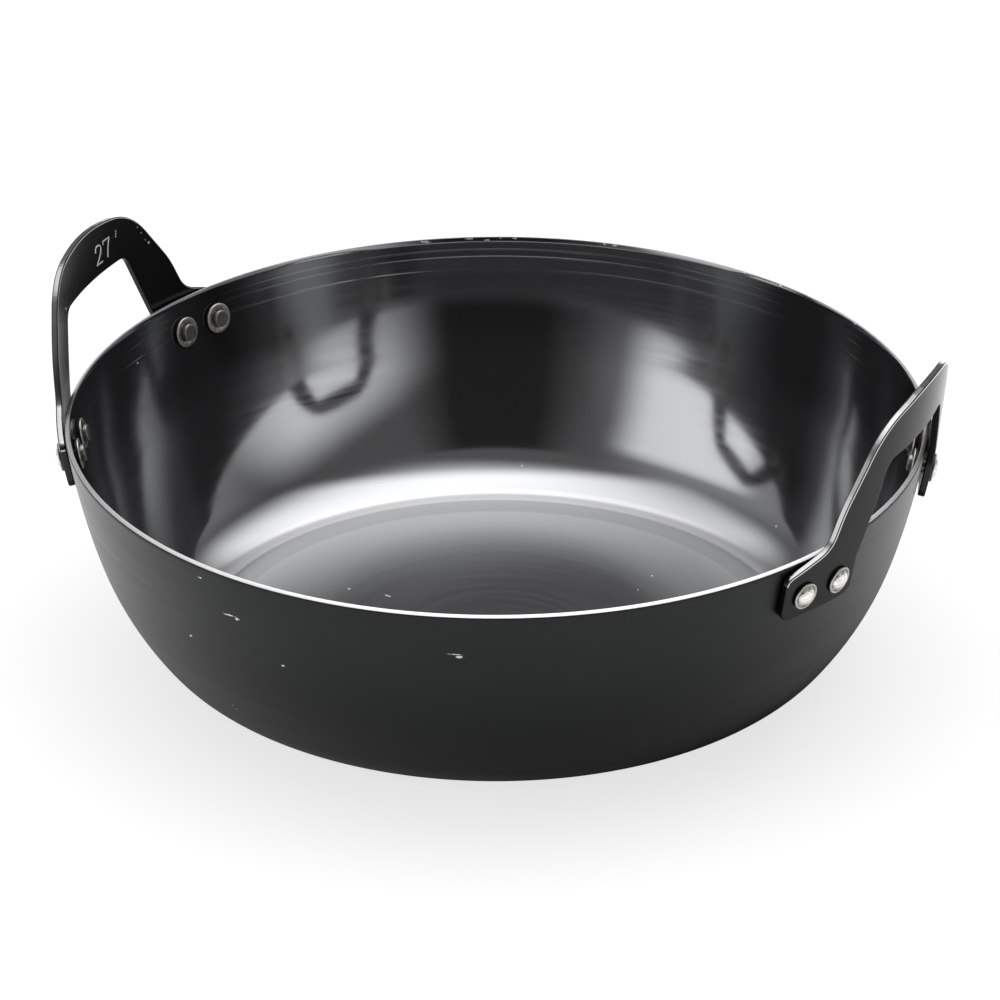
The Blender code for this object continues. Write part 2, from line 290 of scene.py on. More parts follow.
def spin_marks(tree, place, spacing, drift):
    """Marks of spinning: noise that changes quickly down the wall and slowly round it."""
    level = add_node(tree, "ShaderNodeVectorMath", (place, (1, 1, 0)), operation="MULTIPLY")
    radius = add_node(tree, "ShaderNodeVectorMath", (level,), operation="LENGTH").outputs["Value"]
    height = add_node(tree, "ShaderNodeSeparateXYZ", (place,)).outputs["Z"]
    down = add_node(tree, "ShaderNodeMath", (radius, height), operation="SUBTRACT")
    row = add_node(tree, "ShaderNodeMath", (down, 1 / spacing), operation="MULTIPLY")
    turned = add_node(tree, "ShaderNodeVectorMath", (level,), operation="NORMALIZE")
    around = add_node(tree, "ShaderNodeVectorMath", {0: turned, "Scale": drift}, operation="SCALE")
    return add_node(tree, "ShaderNodeTexNoise", {"Vector": around, "W": row, "Scale": 1.0, "Detail": 4.0},
                    noise_dimensions="4D")


def follow_marks(tree, shader, marks, smoothest, roughest, depth):
    """Lets the roughness and the relief of a surface follow the marks on it."""
    gloss = add_node(tree, "ShaderNodeMapRange", (marks, *GLOSS_RANGE, smoothest, roughest))
    tree.links.new(gloss.outputs[0], shader.inputs["Roughness"])
    bump = add_node(tree, "ShaderNodeBump", {"Height": marks.outputs[0], "Distance": depth})
    tree.links.new(bump.outputs[0], shader.inputs["Normal"])


def mix_tones(tree, shader, base, tones):
    """Base colour, over which each (share, tone) is mixed in turn."""
    colour = linear(base)
    for share, tone in tones:
        mixed = add_node(tree, "ShaderNodeMix", {0: share, 6: colour, 7: linear(tone)}, data_type="RGBA")
        colour = mixed.outputs[2]
    tree.links.new(colour, shader.inputs["Base Color"])


def nick_mask(tree, place, nicks):
    """1 on small nicks and 0 elsewhere; each is (middle, half sizes, rotation) in the bowl's frame."""
    grit = add_node(tree, "ShaderNodeTexNoise", {"Vector": place, "Scale": NICK_GRIT, "Detail": 2.0})
    ragged = add_node(tree, "ShaderNodeMapRange", (grit, *TONE_RANGE, -0.45, 0.45))
    # The distance from a nick's middle is 1 at its edge, and starts well past that
    nearest = 9.0
    for middle, half_sizes, rotation in nicks:
        own = add_node(tree, "ShaderNodeMapping", (place, middle, rotation, half_sizes),
                       vector_type="TEXTURE")
        reach = add_node(tree, "ShaderNodeVectorMath", (own,), operation="LENGTH").outputs["Value"]
        nearest = add_node(tree, "ShaderNodeMath", (nearest, reach), operation="MINIMUM")
    edge = add_node(tree, "ShaderNodeMath", (nearest, ragged), operation="ADD")
    return add_node(tree, "ShaderNodeMapRange", (edge, 0.8, 1.1, 1.0, 0.0))


def wall_nicks(nicks, thickness):
    """Places of nicks on the wall, at a distance inside its outer face."""
    wall = wall_profile()
    found = []
    for degrees, *sizes, tilt in nicks:
        height, length, width = (size * MM for size in sizes)
        radius, level, slope = min(wall, key=lambda point: abs(point[1] - height))
        radius += (height - level) * tan(slope) - thickness * cos(slope)
        middle = (radius * cos(radians(degrees)), radius * sin(radians(degrees)), height)
        found.append((middle, (2 * MM, length / 2, width / 2), (radians(tilt), 0, radians(degrees))))
    return found


def floor_nicks(nicks):
    """Places of nicks on the flat inside of the base."""
    found = []
    for degrees, *sizes in nicks:
        radius, length, width = (size * MM for size in sizes)
        middle = (radius * cos(radians(degrees)), radius * sin(radians(degrees)), WALL)
        found.append((middle, (width / 2, length / 2, 2 * MM), (0, 0, radians(degrees))))
    return found


def groove_mask(tree, height):
    """1 on the faint grooves below the rim."""
    total = 0.0
    for level in GROOVE_HEIGHTS:
        away = add_node(tree, "ShaderNodeMath", (height, level), operation="SUBTRACT")
        away = add_node(tree, "ShaderNodeMath", (away,), operation="ABSOLUTE")
        groove = add_node(tree, "ShaderNodeMapRange", (away, 0.0, GROOVE_HALF_WIDTH, 1.0, 0.0),
                          interpolation_type="SMOOTHSTEP")
        total = add_node(tree, "ShaderNodeMath", (total, groove), operation="ADD")
    return total


def inside_steel():
    """Blued carbon steel, spun and burnished: a dark mirror, hazier on the floor than the wall."""
    material, tree, shader, place = new_material("burnished_blued_steel", "#a8a9ab", 0.95, 0.1)
    place_parts = add_node(tree, "ShaderNodeSeparateXYZ", (place,)).outputs
    height = place_parts["Z"]
    # The colour darkens up the wall, over these heights
    upper_darkening = add_node(tree, "ShaderNodeMapRange", (height, *DARKENING_HEIGHTS, 0.0, 1.0))
    # First stand-in: dark patches of painted shade beside the outer rivets, where the mirrored
    # window would otherwise leave a pale upright band
    beside = add_node(tree, "ShaderNodeMath", (place_parts["Y"],), operation="ABSOLUTE")
    away = add_node(tree, "ShaderNodeMath", (beside, SHADE_PATCH_MIDDLE), operation="SUBTRACT")
    away = add_node(tree, "ShaderNodeMath", (away,), operation="ABSOLUTE")
    near = add_node(tree, "ShaderNodeMapRange", (away, *SHADE_PATCH_FADE, SHADE_PATCH_STRENGTH, 0.0),
                    interpolation_type="SMOOTHSTEP")
    high = add_node(tree, "ShaderNodeMapRange", (height, *SHADE_PATCH_HEIGHTS, 0.0, 1.0),
                    interpolation_type="SMOOTHSTEP")
    patches = add_node(tree, "ShaderNodeMath", (near, high), operation="MULTIPLY")
    # Second stand-in: painted highlight, paler in a ring round the foot of the wall and toward
    # the floor's edge, so that the bright mirrored ring ends where the photograph has it
    level = add_node(tree, "ShaderNodeVectorMath", (place, (1, 1, 0)), operation="MULTIPLY")
    radius = add_node(tree, "ShaderNodeVectorMath", (level,), operation="LENGTH").outputs["Value"]
    start = add_node(tree, "ShaderNodeMapRange", (radius, *HIGHLIGHT_RING_START, 0.0, 1.0))
    end = add_node(tree, "ShaderNodeMapRange", (radius, *HIGHLIGHT_RING_END, 1.0, 0.0))
    ring = add_node(tree, "ShaderNodeMath", (start, end), operation="MULTIPLY")
    start = add_node(tree, "ShaderNodeMapRange", (radius, *FLOOR_HIGHLIGHT_START, 0.0, 0.3))
    end = add_node(tree, "ShaderNodeMapRange", (radius, *FLOOR_HIGHLIGHT_END, 1.0, 0.0))
    floor_highlight = add_node(tree, "ShaderNodeMath", (start, end), operation="MULTIPLY")
    grooves = groove_mask(tree, height)
    # Painted highlight: the grooves are paler in colour
    groove_highlight = add_node(tree, "ShaderNodeMath", (grooves, 0.1), operation="MULTIPLY")
    nicks = nick_mask(tree, place, wall_nicks(INNER_NICKS, WALL) + floor_nicks(FLOOR_NICKS))
    # Of these tones, the dark patches are painted shade, and the ring, the paler floor and the paler
    # grooves are painted highlights
    mix_tones(tree, shader, "#a8a9ab",
              ((upper_darkening, "#8b8c8e"), (patches, "#1c1a18"), (groove_highlight, "#e8e8e8"),
               (ring, "#cacaca"), (floor_highlight, "#d0d0d0"), (nicks, "#f0f0f0")))
    rings = spin_marks(tree, place, 1.2 * MM, 0.7)
    fine = add_node(tree, "ShaderNodeMapRange", (rings, *GLOSS_RANGE, -0.025, 0.025))
    haze = add_node(tree, "ShaderNodeMapRange", (height, *HAZE_HEIGHTS, 0.2, 0.095))
    rough = add_node(tree, "ShaderNodeMath", (haze, fine), operation="ADD")
    rough = add_node(tree, "ShaderNodeMix", {0: ring, 2: rough, 3: 0.2})
    rough = add_node(tree, "ShaderNodeMix", {0: nicks, 2: rough, 3: 0.6})
    tree.links.new(rough.outputs[0], shader.inputs["Roughness"])
    bump = add_node(tree, "ShaderNodeBump", {"Height": rings.outputs[0], "Distance": 0.003 * MM})
    ridges = add_node(tree, "ShaderNodeBump",
                      {"Height": grooves.outputs[0], "Distance": 0.012 * MM, "Normal": bump.outputs[0]})
    tree.links.new(ridges.outputs[0], shader.inputs["Normal"])
    return material


def outside_steel():
    """Carbon steel under baked black lacquer: satin, almost black, nicked to the metal."""
    material, tree, shader, place = new_material("baked_black_lacquer", "#232424", 1.0, 0.4)
    patches = add_node(tree, "ShaderNodeTexNoise",
                       {"Vector": place, "Scale": LACQUER_PATCHES, "Detail": 3.0})
    nicks = nick_mask(tree, place, wall_nicks(OUTER_NICKS, 0))
    bare = add_node(tree, "ShaderNodeMath", (nicks, 0.75), operation="MULTIPLY")
    mix_tones(tree, shader, "#212222", ((patches, "#252626"), (bare, "#c4c4c4")))
    follow_marks(tree, shader, spin_marks(tree, place, 2.0 * MM, 1.0), 0.38, 0.42, 0.002 * MM)
    return material


def lip_steel():
    """Bare carbon steel, ground on a belt: bright, with a fine grain along the rim."""
    material, tree, shader, place = new_material("belt_ground_steel", "#d6d6d6", 1.0, 0.4)
    follow_marks(tree, shader, spin_marks(tree, place, 0.15 * MM, 4.0), 0.36, 0.46, 0.003 * MM)
    return material


def plate_nicks(nicks):
    """Places of nicks on the inner face of the left handle, whose across and up are given."""
    found = []
    for nick in nicks:
        across, up, size = (length * MM for length in nick)
        middle = on_bowl(across, up, 0)
        found.append(((-middle.x, -middle.y, middle.z), (size / 2, size / 2, size / 2), (0, 0, 0)))
    return found


def plate_steel():
    """Stamped steel plate under baked black lacquer: flat satin black faces, a little chipped."""
    material, tree, shader, place = new_material("lacquered_steel_plate", "#262626", 1.0, 0.3)
    shader.inputs["Specular Tint"].default_value = (0.6, 0.6, 0.6, 1.0)
    shader.inputs["Sheen Weight"].default_value = 0.06
    shader.inputs["Sheen Roughness"].default_value = 0.5
    nicks = nick_mask(tree, place, plate_nicks(PLATE_NICKS))
    mix_tones(tree, shader, "#262626", ((nicks, "#c8c8c8"),))
    grain = add_node(tree, "ShaderNodeTexNoise", {"Vector": place, "Scale": FINE_GRAIN, "Detail": 3.0})
    gloss = add_node(tree, "ShaderNodeMapRange", (grain, *GLOSS_RANGE, 0.2, 0.26))
    gloss = add_node(tree, "ShaderNodeMix", {0: nicks, 2: gloss, 3: 0.6})
    tree.links.new(gloss.outputs[0], shader.inputs["Roughness"])
    bump = add_node(tree, "ShaderNodeBump", {"Height": grain.outputs[0], "Distance": 0.004 * MM})
    tree.links.new(bump.outputs[0], shader.inputs["Normal"])
    return material


def grained_steel(name, colour, roughness, fineness, detail, depth):
    """(material, its tree, its shader, its grain) of steel with a grain of this depth."""
    material, tree, shader, place = new_material(name, colour, 1.0, roughness)
    grain = add_node(tree, "ShaderNodeTexNoise", {"Vector": place, "Scale": fineness, "Detail": detail})
    bump = add_node(tree, "ShaderNodeBump", {"Height": grain.outputs[0], "Distance": depth})
    tree.links.new(bump.outputs[0], shader.inputs["Normal"])
    return material, tree, shader, grain


def edge_steel():
    """The plate's upper edge and the crease beside it, bright as a painted highlight; lower edges keep
    the dark face finish.
    """
    return grained_steel("painted_highlight_plate_edge", "#a8a8a8", 0.2, COARSE_GRAIN, 3.0, 0.004 * MM)[0]


def stamped_steel():
    """Bottom of the stamped number: dull bright, a painted highlight for the light that the strokes
    catch.
    """
    material, tree, shader, place = new_material("punched_steel", "#e6e6e6", 1.0, 0.6)
    grain = add_node(tree, "ShaderNodeTexNoise", {"Vector": place, "Scale": PUNCHED_GRAIN, "Detail": 3.0})
    gloss = add_node(tree, "ShaderNodeMapRange", (grain, *GLOSS_RANGE, 0.5, 0.7))
    tree.links.new(gloss.outputs[0], shader.inputs["Roughness"])
    return material


def head_steel():
    """Bare mild steel, headed by a rivet set: bright, with small scratches of the tool."""
    material, tree, shader, place = new_material("headed_mild_steel", "#e2e0dc", 1.0, 0.4)
    stretched = add_node(tree, "ShaderNodeMapping", {0: place, "Scale": HEAD_SCRATCHES})
    marks = add_node(tree, "ShaderNodeTexNoise", {"Vector": stretched, "Scale": 1.0, "Detail": 4.0})
    tone = add_node(tree, "ShaderNodeMapRange", (marks, *TONE_RANGE, 0.0, 1.0))
    mix_tones(tree, shader, "#a3a19d", ((tone, "#dcdad6"),))
    follow_marks(tree, shader, marks, 0.3, 0.5, 0.07 * MM)
    return material


def flange_steel():
    """The rivet's flange and shank, left as the set pressed them: duller than the dome."""
    material, tree, shader, place = new_material("pressed_rivet_flange", "#969490", 1.0, 0.35)
    grain = add_node(tree, "ShaderNodeTexNoise", {"Vector": place, "Scale": FINE_GRAIN, "Detail": 4.0})
    follow_marks(tree, shader, grain, 0.28, 0.44, 0.03 * MM)
    return material


def washer_steel():
    """Bare mild steel washer, tumbled and browned by heat: dull and rough."""
    material, tree, shader, marks = grained_steel("heat_browned_washer", "#a8a29c", 0.42,
                                                  COARSE_GRAIN, 5.0, 0.12 * MM)
    patches = add_node(tree, "ShaderNodeMapRange", (marks, *TONE_RANGE, 0.0, 1.0))
    mix_tones(tree, shader, "#8c857f", ((patches, "#bdb8b2"),))
    return material


def rim_steel():
    """The washer's front rim, brighter than its face all round: a painted highlight."""
    return grained_steel("painted_highlight_washer_rim", "#d0ccc6", 0.4, COARSE_GRAIN, 5.0, 0.06 * MM)[0]


def painted_shade_washer_steel():
    """The washer's back and side, dark as painted shade, so that the wall mirrors a dark rim beside each
    washer.
    """
    return grained_steel("painted_shade_washer_side", "#3c3835", 0.55, COARSE_GRAIN, 5.0, 0.06 * MM)[0]


def tail_steel():
    """Hammered end of the rivet, dark with scale."""
    return grained_steel("scaled_rivet_end", "#6e6761", 0.55, HAMMERED_GRAIN, 5.0, 0.1 * MM)[0]


def wall_arcs():
    """(slope at the top, slope at the bottom, radius) of each arc, from the rim down."""
    return ((RIM_SLOPE, WAIST_SLOPE, UPPER_ARC_RADIUS),
            (WAIST_SLOPE, HAUNCH_SLOPE, LOWER_ARC_RADIUS),
            (HAUNCH_SLOPE, pi / 2, CORNER_RADIUS))


def wall_profile():
    """(radius, height, slope) down the outside of the wall, from the lip to the base."""
    radius, height = OUTER_RIM, OUTER_RIM_HEIGHT
    points = [(radius, height, RIM_SLOPE)]
    for high, low, bend in wall_arcs():
        steps = ceil((low - high) * bend / WALL_STEP)
        for step in range(1, steps + 1):
            slope = high + (low - high) * step / steps
            points.append((radius - bend * (cos(high) - cos(slope)),
                           height - bend * (sin(slope) - sin(high)), slope))
        radius, height = points[-1][:2]
    return points


def wall_thickness(height):
    """Thickness of the spun wall where its outer face has this height."""
    extra = sum(swell * exp(-((height - middle) / width) ** 2) for middle, width, swell in SWELLS)
    return WALL + extra


def wall_place(down, out):
    """(radius, height, slope) at a length down the wall's outside and a distance off it."""
    slope = RIM_SLOPE + max(down, 0) / UPPER_ARC_RADIUS
    radius = OUTER_RIM - UPPER_ARC_RADIUS * (cos(RIM_SLOPE) - cos(slope))
    height = OUTER_RIM_HEIGHT - UPPER_ARC_RADIUS * (sin(slope) - sin(RIM_SLOPE))
    above = max(-down, 0)
    radius += above * sin(RIM_SLOPE) + out * cos(slope)
    height += above * cos(RIM_SLOPE) - out * sin(slope)
    return radius, height, slope


def rounded(corners):
    """Points of an outline; each corner is (x, y, fillet radius) and turns the outline."""
    points = []
    for index, (x, y, radius) in enumerate(corners):
        here = Vector((x, y))
        before = Vector(corners[index - 1][:2]) - here
        after = Vector(corners[(index + 1) % len(corners)][:2]) - here
        half_turn = (pi - before.angle(after)) / 2
        reach = min(radius * tan(half_turn), before.length * 0.48, after.length * 0.48)
        radius = reach / tan(half_turn)
        to_centre = (before.normalized() + after.normalized()).normalized()
        centre = here + to_centre * hypot(reach, radius)
        arm = here + before.normalized() * reach - centre
        steps = max(2, ceil(2 * half_turn / FILLET_STEP))
        turn = 2 * half_turn / steps
        if before.cross(after) > 0:
            turn = -turn
        points += [centre + Matrix.Rotation(turn * step, 2) @ arm for step in range(steps + 1)]
    return points


def new_object(name, data):
    """A new object in the scene, at the origin."""
    made = bpy.data.objects.new(name, data)
    bpy.context.collection.objects.link(made)
    return made


def line_object(name, points):
    """A line of points (radius, height) in the XZ plane, for turning."""
    mesh = bpy.data.meshes.new(name)
    edges = [(step, step + 1) for step in range(len(points) - 1)]
    mesh.from_pydata([(radius, 0, height) for radius, height in points], edges, [])
    return new_object(name, mesh)


def places_object(name, frames):
    """One point for each place, with the direction of its axis as an attribute."""
    mesh = bpy.data.meshes.new(name)
    mesh.from_pydata([place for place, axis in frames], [], [])
    axes = mesh.attributes.new("axis", "FLOAT_VECTOR", "POINT")
    for item, (place, axis) in zip(axes.data, frames):
        item.vector = axis
    return new_object(name, mesh)


def turning_tree():
    """Turns a profile about Z and sets the piece on each place, Z along the place's axis.

    The band is a range of the profile's edges, counted from its start: edges before it have
    the first finish, those in it the band's, and those after it the last.
    """
    tree = bpy.data.node_groups.new("turned_piece", "GeometryNodeTree")
    for name, kind in (("Places", "Geometry"), ("Profile", "Object"), ("Steps", "Int"),
                       ("Band Start", "Int"), ("Band End", "Int"), ("First Finish", "Material"),
                       ("Band Finish", "Material"), ("Last Finish", "Material")):
        tree.interface.new_socket(name, in_out="INPUT", socket_type="NodeSocket" + kind)
    tree.interface.new_socket("Pieces", in_out="OUTPUT", socket_type="NodeSocketGeometry")
    given = add_node(tree, "NodeGroupInput").outputs
    line = add_node(tree, "GeometryNodeObjectInfo", {"Object": given["Profile"]}).outputs["Geometry"]
    count = add_node(tree, "GeometryNodeAttributeDomainSize", {"Geometry": line}).outputs["Point Count"]
    columns = add_node(tree, "ShaderNodeMath", (given["Steps"], 1.0), operation="ADD")
    sheet = add_node(tree, "GeometryNodeMeshGrid", (1.0, 1.0, columns, count))
    position = add_node(tree, "GeometryNodeInputPosition").outputs[0]
    part = add_node(tree, "ShaderNodeSeparateXYZ", (position,)).outputs
    share = add_node(tree, "ShaderNodeMath", (part["Y"], 0.5), operation="ADD")
    last = add_node(tree, "ShaderNodeMath", (count, 1.0), operation="SUBTRACT")
    row = add_node(tree, "ShaderNodeMath", (share, last), operation="MULTIPLY")
    stored = add_node(tree, "GeometryNodeStoreNamedAttribute",
                      {"Geometry": sheet, "Name": "row", "Value": row}, data_type="FLOAT", domain="FACE")
    nearest = add_node(tree, "ShaderNodeMath", (row,), operation="ROUND")
    sampled = add_node(tree, "GeometryNodeSampleIndex",
                       {"Geometry": line, "Value": position, "Index": nearest}, data_type="FLOAT_VECTOR")
    corner = add_node(tree, "ShaderNodeSeparateXYZ", (sampled,)).outputs
    lap = add_node(tree, "ShaderNodeMath", (part["X"], 0.5), operation="ADD")
    angle = add_node(tree, "ShaderNodeMath", (lap, 2 * pi), operation="MULTIPLY")
    cosine = add_node(tree, "ShaderNodeMath", (angle,), operation="COSINE")
    sine = add_node(tree, "ShaderNodeMath", (angle,), operation="SINE")
    along = add_node(tree, "ShaderNodeMath", (corner["X"], cosine), operation="MULTIPLY")
    beside = add_node(tree, "ShaderNodeMath", (corner["X"], sine), operation="MULTIPLY")
    turned = add_node(tree, "ShaderNodeCombineXYZ", (along, beside, corner["Z"]))
    shaped = add_node(tree, "GeometryNodeSetPosition", {"Geometry": stored, "Position": turned})
    closed = add_node(tree, "GeometryNodeMergeByDistance", {"Geometry": shaped, "Distance": TINY})
    axis = add_node(tree, "GeometryNodeInputNamedAttribute", ("axis",), data_type="FLOAT_VECTOR")
    aimed = add_node(tree, "FunctionNodeAlignRotationToVector", {"Vector": axis}, axis="Z")
    spread = add_node(tree, "GeometryNodeInstanceOnPoints",
                      {"Points": given["Places"], "Instance": closed, "Rotation": aimed})
    pieces = add_node(tree, "GeometryNodeRealizeInstances", (spread,))
    pieces = add_node(tree, "GeometryNodeSetShadeSmooth", (pieces,))
    kept_row = add_node(tree, "GeometryNodeInputNamedAttribute", ("row",), data_type="FLOAT")
    for finish, start in (("First Finish", -1.0), ("Band Finish", given["Band Start"]),
                          ("Last Finish", given["Band End"])):
        chosen = add_node(tree, "ShaderNodeMath", (kept_row, start), operation="GREATER_THAN")
        pieces = add_node(tree, "GeometryNodeSetMaterial", (pieces, chosen, given[finish]))
    add_node(tree, "NodeGroupOutput", (pieces,))
    return tree


def plain_mesh(made):
    """Gives an object its evaluated shape as its own mesh, without modifiers."""
    graph = bpy.context.evaluated_depsgraph_get()
    mesh = bpy.data.meshes.new_from_object(made.evaluated_get(graph))
    made.modifiers.clear()
    made.data = mesh
    return made


def turned_pieces(name, tree, profile, steps, frames, finishes, band):
    """Pieces turned from one profile, on (place, axis) frames, as one plain mesh object."""
    line = line_object(name + "_profile", profile)
    made = places_object(name, frames)
    modifier = made.modifiers.new("turning", "NODES")
    modifier.node_group = tree
    values = {"Profile": line, "Steps": steps, "Band Start": band[0], "Band End": band[1],
              "First Finish": finishes[0], "Band Finish": finishes[1], "Last Finish": finishes[2]}
    for item in tree.interface.items_tree:
        if item.name in values:
            modifier[item.identifier] = values[item.name]
    plain_mesh(made)
    bpy.data.objects.remove(line, do_unlink=True)
    made.data.set_sharp_from_angle(angle=TURNED_SHARP)
    return made


def arc(centre, radius, start, end, steps):
    """Points of an arc round a centre in the plane of a profile; angles in degrees."""
    return [(centre[0] + radius * cos(radians(start + (end - start) * step / steps)),
             centre[1] + radius * sin(radians(start + (end - start) * step / steps)))
            for step in range(steps + 1)]


def bowl(tree, outside, lip, inside):
    """The spun shell, from the middle of its base up the outside and down the inside.

    The lacquer still covers the lip's outer corner; the rest of the lip is ground bare.
    """
    wall = wall_profile()
    inner = []
    for radius, height, slope in wall:
        thick = wall_thickness(height)
        inner.append((radius - thick * cos(slope), height + thick * sin(slope)))
    outer_corner = Vector(wall[0][:2])
    inner_corner = outer_corner + Vector((-cos(LIP_SLANT), sin(LIP_SLANT))) * (LIP_DROP / sin(LIP_SLANT))
    along = (inner_corner - outer_corner).normalized()
    down = Vector((-sin(RIM_SLOPE), -cos(RIM_SLOPE)))
    flat = [(OUTER_RIM * 0.2 * step, 0) for step in range(4)]
    profile = flat + [(radius, height) for radius, height, slope in reversed(wall[1:])]
    profile += edge_round(outer_corner, down, along)
    lip_start = len(profile) - 1
    profile += edge_round(inner_corner, -along, down)
    lip_end = len(profile) - 1
    profile += inner[1:] + [(radius, WALL) for radius, height in reversed(flat[1:])] + [(0, WALL)]
    made = turned_pieces("bowl", tree, profile, BOWL_STEPS, [((0, 0, 0), (0, 0, 1))],
                         (outside, lip, inside), (lip_start, lip_end))
    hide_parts("pot_shell")
    return made


def edge_round(corner, before, after):
    """Three points that round off one corner of the lip."""
    middle = corner + (before + after) * LIP_EDGE * 0.28
    return [tuple(corner + before * LIP_EDGE), tuple(middle), tuple(corner + after * LIP_EDGE)]


def handle_outline():
    """Corners of the flat handle plate, right half first, then its mirror image."""
    hole_top = GRIP_TOP_WIDTH / 2
    foot_start = FEET_GAP / 2
    taper = (foot_start - hole_top) / (GRIP_HEIGHT + FEET_GAP_TURN)
    crown = GRIP_HEIGHT + BAR_WIDTH
    knee = hole_top + taper * (GRIP_HEIGHT - KNEE_HEIGHT) + LEG_WIDTH
    ankle = hole_top + taper * (GRIP_HEIGHT - ANKLE_HEIGHT) + LEG_WIDTH
    half = [(hole_top + SHOULDER_REACH, crown - CROWN_FALL, SHOULDER_RADIUS),
            (knee, KNEE_HEIGHT, KNEE_RADIUS),
            (ankle, ANKLE_HEIGHT, ANKLE_RADIUS),
            (FOOT_REACH, -FOOT_TOE_DEPTH, FOOT_CORNER),
            (FOOT_REACH, -FOOT_DEPTH, FOOT_CORNER),
            (foot_start, -FOOT_DEPTH, FOOT_CORNER),
            (foot_start, -FEET_GAP_TURN, 2 * FOOT_CORNER),
            (hole_top, GRIP_HEIGHT, GRIP_CORNER)]
    mirrored = [(-across, up, radius) for across, up, radius in reversed(half)]
    return [(0, crown, CROWN_RADIUS)] + half + mirrored


def stand_off(across):
    """Distance from the wall to the back of the plate, least at the ends of the feet."""
    return GAP + PLATE_BOW * (1 - (across / FOOT_REACH) ** 2)


def on_bowl(across, up, out):
    """Place of a point of the flat plate once the plate is rolled and seated."""
    angle = across / (OUTER_RIM + GAP)
    radius, height = wall_place(max(-up, 0) - LIP_DROP, stand_off(across) + out)[:2]
    radius += max(up, 0) * sin(LOOP_LEAN)
    height += max(up, 0) * cos(LOOP_LEAN)
    return Vector((radius * cos(angle), radius * sin(angle), height))


def rivet_rows():
    """Distances across from the middle of the handle to its rivets."""
    inner = FEET_GAP / 2 + RIVET_EDGE
    outer = FOOT_REACH - RIVET_EDGE
    return -outer, -inner, inner, outer


def gets_painted_highlight(side):
    """Whether a face lies on the plate's upper edge or on the crease between edge and face, which take
    the painted highlight.

    The normal's reach along the plate is 1 on the edge, 0 on the face and between on the crease.
    """
    outwards = Vector((side.normal.x, side.normal.y))
    middle = side.calc_center_median() - Vector((0, GRIP_HEIGHT / 2, PLATE / 2))
    upper = outwards.y > 0.15 * outwards.length and outwards.dot(middle.xy) > 0
    return upper and (outwards.length > 0.99 or 0.1 < outwards.length < 0.6)


def flat_plate(face_finish, edge_finish):
    """The stamped plate before rolling, with rounded edges; its four rivet holes are punched after."""
    bm = bmesh.new()
    outline = [bm.verts.new((point.x, point.y, 0)) for point in rounded(handle_outline())]
    face = bm.faces.new(outline)
    top = bmesh.ops.extrude_face_region(bm, geom=[face])["geom"]
    moved = [item for item in top if isinstance(item, bmesh.types.BMVert)]
    bmesh.ops.translate(bm, verts=moved, vec=(0, 0, PLATE))
    bmesh.ops.recalc_face_normals(bm, faces=bm.faces)
    rims = [edge for edge in bm.edges if abs(edge.verts[0].co.z - edge.verts[1].co.z) < PLATE / 2]
    bmesh.ops.bevel(bm, geom=rims, offset=PLATE_EDGE, segments=4, profile=0.5, affect="EDGES",
                    clamp_overlap=True, material=0)
    bm.normal_update()
    for side in bm.faces:
        # Upward faces of the edge and crease get the bright finish: painted highlight
        side.material_index = int(gets_painted_highlight(side))
    mesh = bpy.data.meshes.new("flat_plate")
    bm.to_mesh(mesh)
    bm.free()
    mesh.materials.append(face_finish)
    mesh.materials.append(edge_finish)
    return new_object("flat_plate", mesh)


def hole_cutter():
    """The four punches of the plate's rivet holes."""
    bm = bmesh.new()
    for across in rivet_rows():
        place = Matrix.Translation((across, -RIVET_DROP, PLATE / 2))
        bmesh.ops.create_cone(bm, cap_ends=True, segments=RIVET_STEPS, radius1=SHANK_DIAMETER / 2 + GAP,
                              radius2=SHANK_DIAMETER / 2 + GAP, depth=3 * PLATE, matrix=place)
    mesh = bpy.data.meshes.new("rivet_holes")
    bm.to_mesh(mesh)
    bm.free()
    return new_object("rivet_holes", mesh)


def number_strokes():
    """Strokes of the digits of the rim's size in centimetres, in shares of a digit's cell."""
    two = [(0.02, 0.70), (0.12, 0.93), (0.48, 1.0), (0.86, 0.88), (0.90, 0.66), (0.60, 0.36),
           (0.02, 0.0), (1.0, 0.0)]
    seven = [(0.0, 0.82), (0.0, 1.0), (1.0, 1.0), (0.66, 0.5), (0.48, 0.0)]
    return (two, (6, 7)), (seven, (0, 1, 2))


def number_cutter(finish):
    """The punches: one curve for each digit, square in section, half sunk in the plate."""
    curve = bpy.data.curves.new("size_number", "CURVE")
    curve.dimensions = "3D"
    curve.bevel_depth = STROKE_DEPTH
    curve.bevel_resolution = 0
    curve.use_fill_caps = True
    curve.resolution_u = 6
    for digit, (stroke, sharp) in enumerate(number_strokes()):
        spline = curve.splines.new("BEZIER")
        spline.bezier_points.add(len(stroke) - 1)
        for index, (point, (x, y)) in enumerate(zip(spline.bezier_points, stroke)):
            across = NUMBER_START + NUMBER_PITCH * digit + NUMBER_WIDTH * x
            point.co = (-across, NUMBER_BASE + NUMBER_HEIGHT * y, 0)
            kind = "VECTOR" if index in sharp else "AUTO"
            point.handle_left_type = kind
            point.handle_right_type = kind
    made = new_object("size_number", curve)
    mesh = bpy.data.meshes.new_from_object(made.evaluated_get(bpy.context.evaluated_depsgraph_get()))
    mesh.materials.clear()
    mesh.materials.append(finish)
    bpy.data.objects.remove(made, do_unlink=True)
    return new_object("size_number", mesh)


def cut(target, cutter):
    """Cuts one mesh object by another, and removes the cutter."""
    modifier = target.modifiers.new("cut", "BOOLEAN")
    modifier.operation = "DIFFERENCE"
    modifier.solver = "EXACT"
    modifier.use_self = True
    modifier.material_mode = "TRANSFER"
    modifier.object = cutter
    plain_mesh(target)
    bpy.data.objects.remove(cutter, do_unlink=True)


